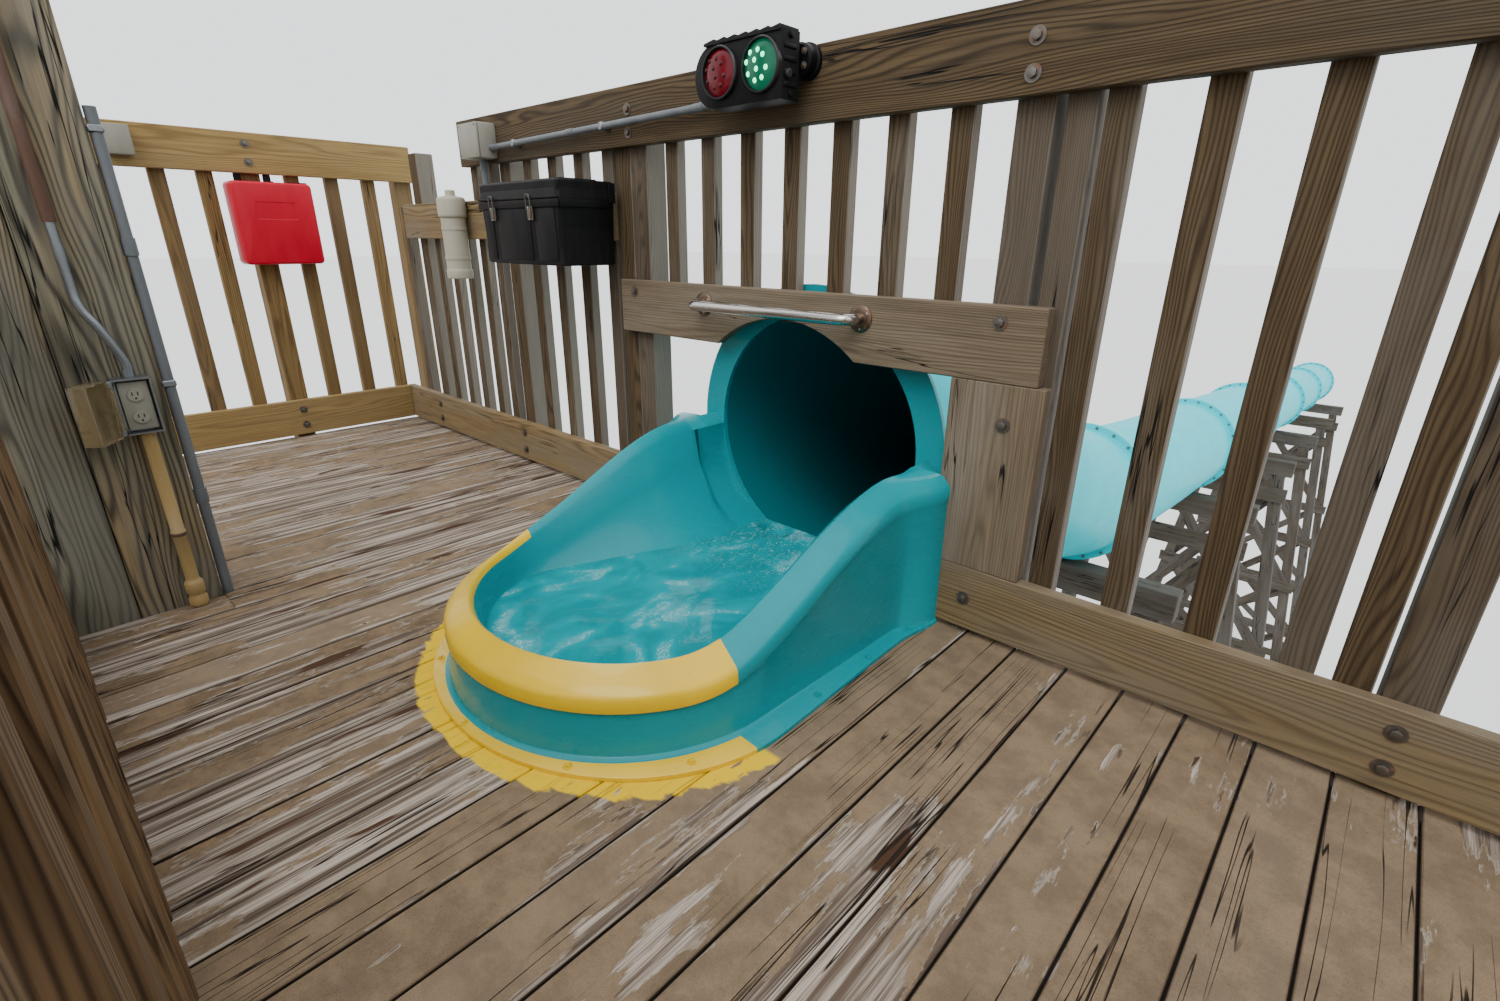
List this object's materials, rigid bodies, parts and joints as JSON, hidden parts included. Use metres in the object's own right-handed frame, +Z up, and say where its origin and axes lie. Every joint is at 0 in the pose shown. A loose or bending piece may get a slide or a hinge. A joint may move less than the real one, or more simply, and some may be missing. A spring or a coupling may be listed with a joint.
{
  "type": "water slide tower",
  "caption": "Timber start tower of a water slide: railed deck on braced legs, start tub, signal lamps, and an enclosed flume carried on timber bents",
  "frame": {"origin": "The centre of the foot of the left main column's timber on the slide side, at ground level", "axes": "X runs along the rail that the slide goes through, to the right of the picture's view, Y points the way the slide leaves, and Z is up"},
  "size_m": [7.032, 22.149, 11.6],
  "materials": {
    "deck_boards": "sand-textured coating, worn",
    "frame_timber": "rough, weathered",
    "rail_timber": "brown, weathered",
    "column_timber": "dark, strongly grained",
    "trestle_timber": "grey, weathered",
    "tub_shell": "glossy, wet",
    "flume_shell": "glossy",
    "stainless_bar": "satin",
    "black_housing": "slightly textured",
    "red_case_shell": "moulded",
    "red_lens": "clear coloured",
    "green_lens": "clear coloured",
    "grey_conduit": "smooth",
    "galvanised_steel": "dull",
    "beige_plastic": "smooth",
    "clear_cover": "clear, yellowed"
  },
  "bodies": {
    "tower": {"deck": "deck_boards", "deck_frame": "frame_timber", "slide_side_frame": "frame_timber", "landing_side_frame": "frame_timber", "far_end_frame": "frame_timber", "right_end_frame": "frame_timber", "middle_leg": "frame_timber", "slide_top_rail": "rail_timber", "slide_rail_left": "rail_timber", "slide_header": "rail_timber", "slide_rail_right": "rail_timber", "far_rail": "rail_timber", "right_end_rail": "rail_timber", "landing_rail_left": "rail_timber", "landing_rail_right": "rail_timber", "near_rail": "rail_timber", "main_column_left_near": "column_timber", "main_column_left_slide": "column_timber", "main_column_right_near": "column_timber", "main_column_right_slide": "column_timber", "bent_1": "trestle_timber", "bent_2": "trestle_timber", "bent_3": "trestle_timber", "bent_4": "trestle_timber", "bent_5": "trestle_timber", "bent_6": "trestle_timber", "tub": "tub_shell", "tunnel_collar": "tub_shell", "flume_section_1": "flume_shell", "flume_section_2": "flume_shell", "flume_section_3": "flume_shell", "flume_section_4": "flume_shell", "flume_section_5": "flume_shell", "flume_section_6": "flume_shell", "grab_bar": "stainless_bar", "signal_housing": "black_housing", "signal_bracket": "black_housing", "toolbox_body": "black_housing", "red_case": "red_case_shell", "signal_red_lens": "red_lens", "signal_green_lens": "green_lens", "signal_conduit": "grey_conduit", "rail_down_pipe": "grey_conduit", "column_conduit": "grey_conduit", "outlet_box": "galvanised_steel", "outlet_conduit": "galvanised_steel", "rail_junction_box": "beige_plastic", "far_junction_box": "beige_plastic", "capped_tube": "beige_plastic", "outlet_pipe": "beige_plastic"},
    "toolbox_lid": {"toolbox_lid": "black_housing"},
    "outlet_cover": {"outlet_cover": "clear_cover"}
  },
  "joints": [
    {"name": "toolbox_lid_hinge", "type": "hinge", "parent": "tower", "child": "toolbox_lid", "pos_m": [0.123, 1.471, 10.228], "axis": [-1, 0, 0], "range_deg": [0, 70]},
    {"name": "outlet_cover_hinge", "type": "hinge", "parent": "tower", "child": "outlet_cover", "pos_m": [0.1793, -0.017, 9.618], "axis": [0, 0, 1], "range_deg": [0, 125]}
  ]
}
